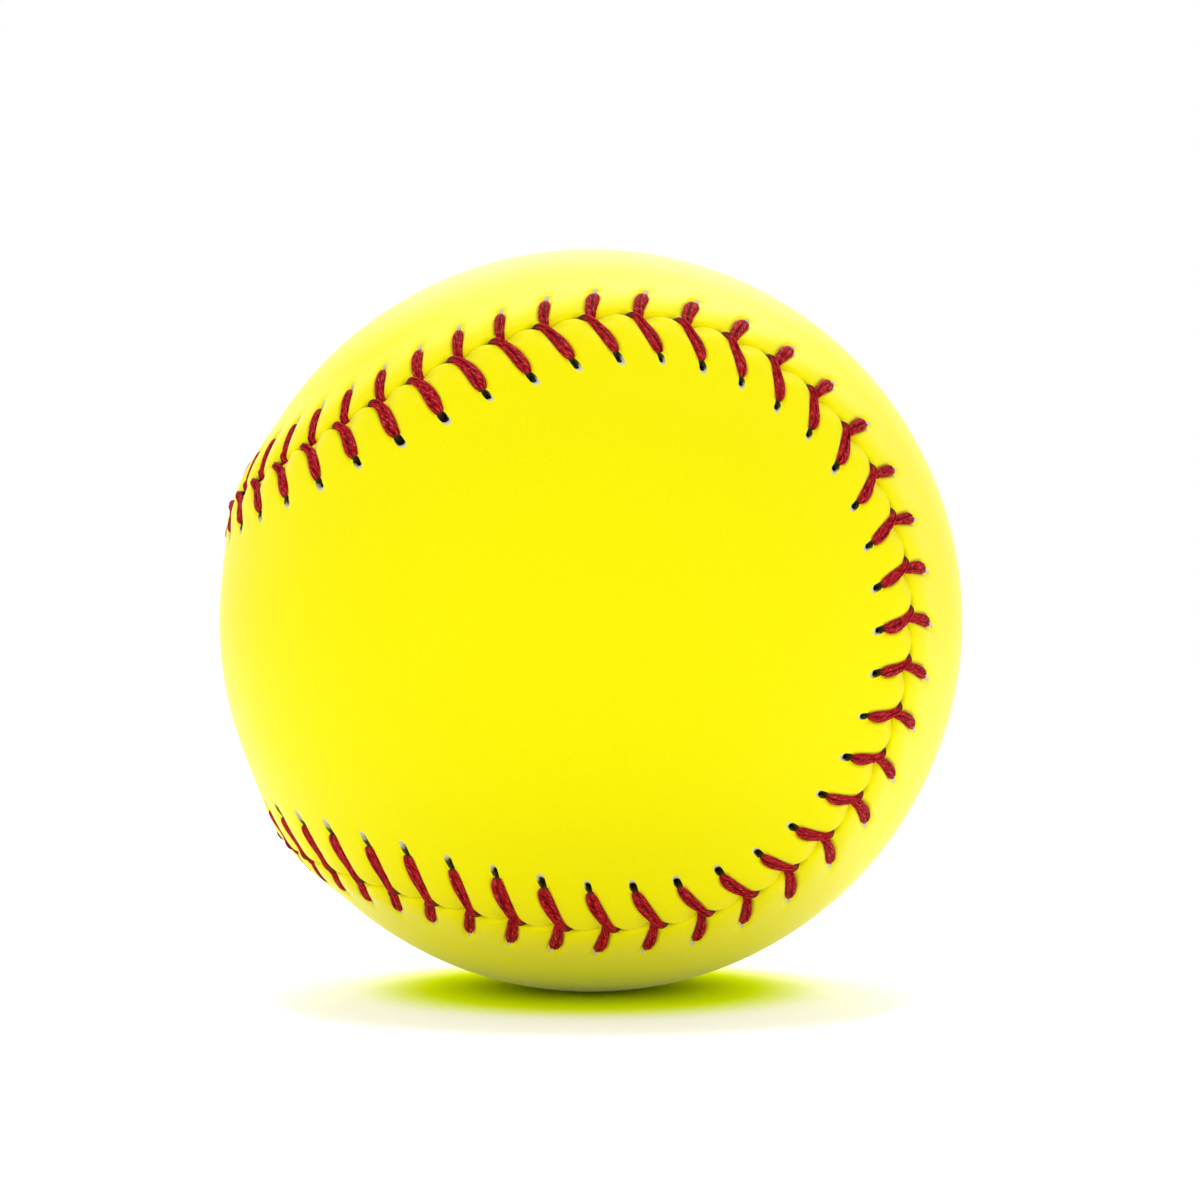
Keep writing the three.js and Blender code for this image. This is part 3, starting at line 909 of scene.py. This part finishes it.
def waxed_thread():
    """Two plies of crimson polyester and cotton, twisted together, drawn through wax and pulled
    flat. The fibres run along it at a slant, and dark gaps between them show through the wax."""
    material, tree, thread = new_material("waxed_polyester_cotton_thread")
    run = add_node(tree, "ShaderNodeUVMap", {"uv_map": "thread_run"}).outputs["UV"]
    slant = add_node(tree, "ShaderNodeMapping", None,
                     {"Vector": run, "Rotation": (0, 0, math.radians(14))})
    # Bundles of fibre 0.14 mm apart, drawn coarser than the real 0.02 mm so that they show.
    stretched = add_node(tree, "ShaderNodeVectorMath", {"operation": "MULTIPLY"},
                         {0: slant.outputs["Vector"], 1: (1.0, 7.0, 1.0)})
    fibres = add_node(tree, "ShaderNodeTexNoise", None,
                      {"Vector": stretched.outputs[0], "Scale": 1.0, "Detail": 4.0,
                       "Roughness": 0.7})
    # The ramp paints shade in the gaps between fibres and highlights on some of them.
    ramp = add_node(tree, "ShaderNodeValToRGB", None, {"Fac": fibres.outputs["Fac"]})
    dark_gap, dyed_fibre = ramp.color_ramp.elements
    dark_gap.position = 0.37
    dark_gap.color = colour("4e0206")
    dyed_fibre.position = 0.51
    dyed_fibre.color = colour("b40516")
    lit_fibre = ramp.color_ramp.elements.new(0.68)
    lit_fibre.color = colour("ee5c5e")
    # Lint and wax crumbs, 0.15 mm across and some 1.6 mm apart.
    lint_field = add_node(tree, "ShaderNodeTexVoronoi", {"feature": "F1"},
                          {"Vector": run, "Scale": 1 / 1.6, "Randomness": 1.0})
    lint = add_node(tree, "ShaderNodeMath", {"operation": "LESS_THAN"},
                    {0: lint_field.outputs["Distance"], 1: 0.045})
    flecked = add_node(tree, "ShaderNodeMix", {"data_type": "RGBA"},
                       {"Factor": lint.outputs[0], "A": ramp.outputs["Color"],
                        "B": colour("f0b2a8")})
    # Shade is painted into the groove between the plies, and onto the thread where it sinks into
    # the holes and the seam.
    groove = add_node(tree, "ShaderNodeAttribute", {"attribute_name": "ply_groove"})
    darker = add_node(tree, "ShaderNodeMath", {"operation": "MULTIPLY"},
                      {0: groove.outputs["Fac"], 1: 0.9})
    groove_shaded = add_node(tree, "ShaderNodeMix", {"data_type": "RGBA"},
                    {"Factor": darker.outputs[0], "A": flecked.outputs["Result"],
                     "B": colour("3c0208")})
    sunk_shade = add_node(tree, "ShaderNodeAttribute", {"attribute_name": "thread_sunk_shade"})
    shade_painted = add_node(tree, "ShaderNodeMix", {"data_type": "RGBA"},
                      {"Factor": sunk_shade.outputs["Fac"], "A": groove_shaded.outputs["Result"],
                       "B": colour("463a1c")})
    bump = add_node(tree, "ShaderNodeBump", None,
                    {"Strength": 0.8, "Distance": 0.1 * MM, "Height": fibres.outputs["Fac"]})
    # The fibres break up what the wax mirrors, so its reflection is held low as well.
    set_inputs(tree, thread, {
        "Base Color": shade_painted.outputs["Result"],
        "Normal": bump.outputs["Normal"],
        "Roughness": 0.55,
        "IOR": 1.5,
        "Specular IOR Level": 0.03,
    })
    return material


def moulded_polyurethane():
    """Rigid polyurethane foam, moulded to a smooth skin: pale cream, matt, with faint pores."""
    material, tree, foam = new_material("moulded_polyurethane")
    place = add_node(tree, "ShaderNodeTexCoord").outputs["Object"]
    # The skin's mottling repeats every 1.2 mm.
    pores = add_node(tree, "ShaderNodeTexNoise", None,
                     {"Vector": place, "Scale": per_metre(1.2), "Detail": 3.0,
                      "Roughness": 0.5})
    shade = add_node(tree, "ShaderNodeMix", {"data_type": "RGBA"},
                     {"Factor": pores.outputs["Fac"], "A": colour("cdc6b2"),
                      "B": colour("e0dac8")})
    set_inputs(tree, foam, {
        "Base Color": shade.outputs["Result"],
        "Roughness": 0.75,
        "IOR": 1.5,
    })
    return material


def seen_directly(tree):
    """1 for rays that show the thing itself or its reflection, 0 for rays that carry its light."""
    rays = add_node(tree, "ShaderNodeLightPath")
    seen = add_node(tree, "ShaderNodeMath", {"operation": "MAXIMUM"},
                    {0: rays.outputs["Is Camera Ray"], 1: rays.outputs["Is Glossy Ray"]})
    return add_node(tree, "ShaderNodeMath", {"operation": "MAXIMUM"},
                    {0: seen.outputs[0], 1: rays.outputs["Is Transmission Ray"]}).outputs[0]


def white_table():
    """A white acrylic sheet. It shows as pure white beyond the ball's shadow, as if lit through."""
    material, tree, sheet = new_material("white_acrylic_sheet")
    place = add_node(tree, "ShaderNodeTexCoord").outputs["Object"]
    level = add_node(tree, "ShaderNodeVectorMath", {"operation": "MULTIPLY"},
                     {0: place, 1: (1, 1, 0)})
    from_foot = add_node(tree, "ShaderNodeVectorMath", {"operation": "LENGTH"},
                         {0: level.outputs[0]}).outputs["Value"]
    # The glow starts softly outside the dark middle of the shadow and is full at its end.
    inner = add_node(tree, "ShaderNodeMapRange", {"interpolation_type": "SMOOTHSTEP"},
                     {"Value": from_foot, "From Min": 11 * MM, "From Max": 33 * MM,
                      "To Max": 0.27})
    outer = add_node(tree, "ShaderNodeMapRange", {"interpolation_type": "SMOOTHSTEP"},
                     {"Value": from_foot, "From Min": 41 * MM, "From Max": 54 * MM,
                      "To Max": 0.8})
    glow = add_node(tree, "ShaderNodeMath", {"operation": "ADD"},
                    {0: inner.outputs[0], 1: outer.outputs[0]})
    strength = add_node(tree, "ShaderNodeMath", {"operation": "MULTIPLY"},
                        {0: glow.outputs[0], 1: seen_directly(tree)})
    # The yellow light that the ball throws down is painted into the sheet's colour and glow under
    # it.
    clear = add_node(tree, "ShaderNodeMapRange", {"interpolation_type": "SMOOTHSTEP"},
                     {"Value": from_foot, "From Min": 21 * MM, "From Max": 33 * MM})
    tint = add_node(tree, "ShaderNodeMix", {"data_type": "RGBA"},
                    {"Factor": clear.outputs[0], "A": colour("e4f60e"), "B": colour("f5f7ff")})
    set_inputs(tree, sheet, {
        "Base Color": tint.outputs["Result"],
        "Emission Color": tint.outputs["Result"],
        "Emission Strength": strength.outputs[0],
        "Roughness": 0.9,
        "Specular IOR Level": 0.0,
    })
    return material


def dress_ball():
    """Puts fine pieces in the place of the CAD's cover and thread, and gives the core its foam."""
    skins = [pigmented_leather(), raw_leather()]
    thread = waxed_thread()
    core_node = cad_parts["core"]
    core_node.data.materials.clear()
    core_node.data.materials.append(moulded_polyurethane())
    pieces = [
        (leather_panel("leather_panel_front", NEAR, skins), "cover_panel_front", "cover_leather"),
        (leather_panel("leather_panel_back", FAR, skins), "cover_panel_back", "cover_leather"),
        (waxed_ribbon("waxed_thread_first", NEAR, thread), "thread_first_needle", "waxed_thread"),
        (waxed_ribbon("waxed_thread_second", FAR, thread), "thread_second_needle", "waxed_thread"),
    ]
    for piece, node, slot in pieces:
        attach(piece, "root")
        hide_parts(node)


# The camera looks at the ball from a little under its middle: its distance in radii of the ball,
# its elevation in degrees, its lens and sensor in millimetres, and where the ball's middle lies
# in the image.
CAMERA_DISTANCE = 6.23
CAMERA_ELEVATION = -2.0
CAMERA_LENS = 68.5
CAMERA_SENSOR = 36
IMAGE_SIDE = 1200
BALL_MIDDLE = (590.98, 620.57)


def set_camera():
    """The camera stands in front of the ball. Its shift puts the ball's middle in its place."""
    data = bpy.data.cameras.new("camera")
    data.sensor_width = CAMERA_SENSOR
    data.lens = CAMERA_LENS
    data.shift_x = (IMAGE_SIDE / 2 - BALL_MIDDLE[0]) / IMAGE_SIDE
    data.shift_y = (BALL_MIDDLE[1] - IMAGE_SIDE / 2) / IMAGE_SIDE
    data.clip_start = 0.01
    camera = bpy.data.objects.new("camera", data)
    rise = math.radians(CAMERA_ELEVATION)
    away = Vector((0, -math.cos(rise), math.sin(rise)))
    camera.location = away * CAMERA_DISTANCE * BALL_RADIUS * MM
    camera.rotation_euler = away.to_track_quat("Z", "Y").to_euler()
    bpy.context.scene.collection.objects.link(camera)
    bpy.context.scene.camera = camera


def set_table():
    """The sheet that the ball lies on, 6 m square, so that its edges are far out of sight."""
    half = 3.0
    height = cad_box[0][2]
    corners = [(-half, -half, height), (half, -half, height),
               (half, half, height), (-half, half, height)]
    table = make_object("white_table", corners, [(0, 1, 2, 3)], [white_table()])


def soft_box(name, place, size, power):
    """A square soft box that faces the ball. Its place and size are in metres, its power in W."""
    lamp = bpy.data.lights.new(name, "AREA")
    lamp.size = size
    lamp.energy = power
    box = bpy.data.objects.new(name, lamp)
    box.location = place
    box.rotation_euler = Vector(place).to_track_quat("Z", "Y").to_euler()
    bpy.context.scene.collection.objects.link(box)


def set_light():
    """Even light from all around, with soft boxes above, behind and on both sides in front."""
    world = bpy.data.worlds.new("studio")
    bpy.context.scene.world = world
    world.use_nodes = True
    tree = world.node_tree
    tree.nodes.clear()
    white = colour("ffffff")
    lit = add_node(tree, "ShaderNodeBackground", None, {"Color": white, "Strength": 0.77})
    seen = add_node(tree, "ShaderNodeBackground", None, {"Color": white, "Strength": 1.0})
    mix = add_node(tree, "ShaderNodeMixShader", None,
                   {0: seen_directly(tree), 1: lit.outputs[0], 2: seen.outputs[0]})
    add_node(tree, "ShaderNodeOutputWorld", None, {"Surface": mix.outputs[0]})

    soft_box("soft_box_above", (0.0, 0.05, 1.0), 0.8, 0.6)
    soft_box("soft_box_behind", (0.0, 0.6, 0.7), 0.7, 7.2)
    soft_box("soft_box_front_left", (-0.6, -1.0, 0.3), 0.7, 1.05)
    soft_box("soft_box_front_right", (0.6, -1.0, 0.3), 0.7, 1.05)


bpy.context.scene.view_settings.view_transform = "Standard"
set_camera()
set_table()
set_light()
dress_ball()
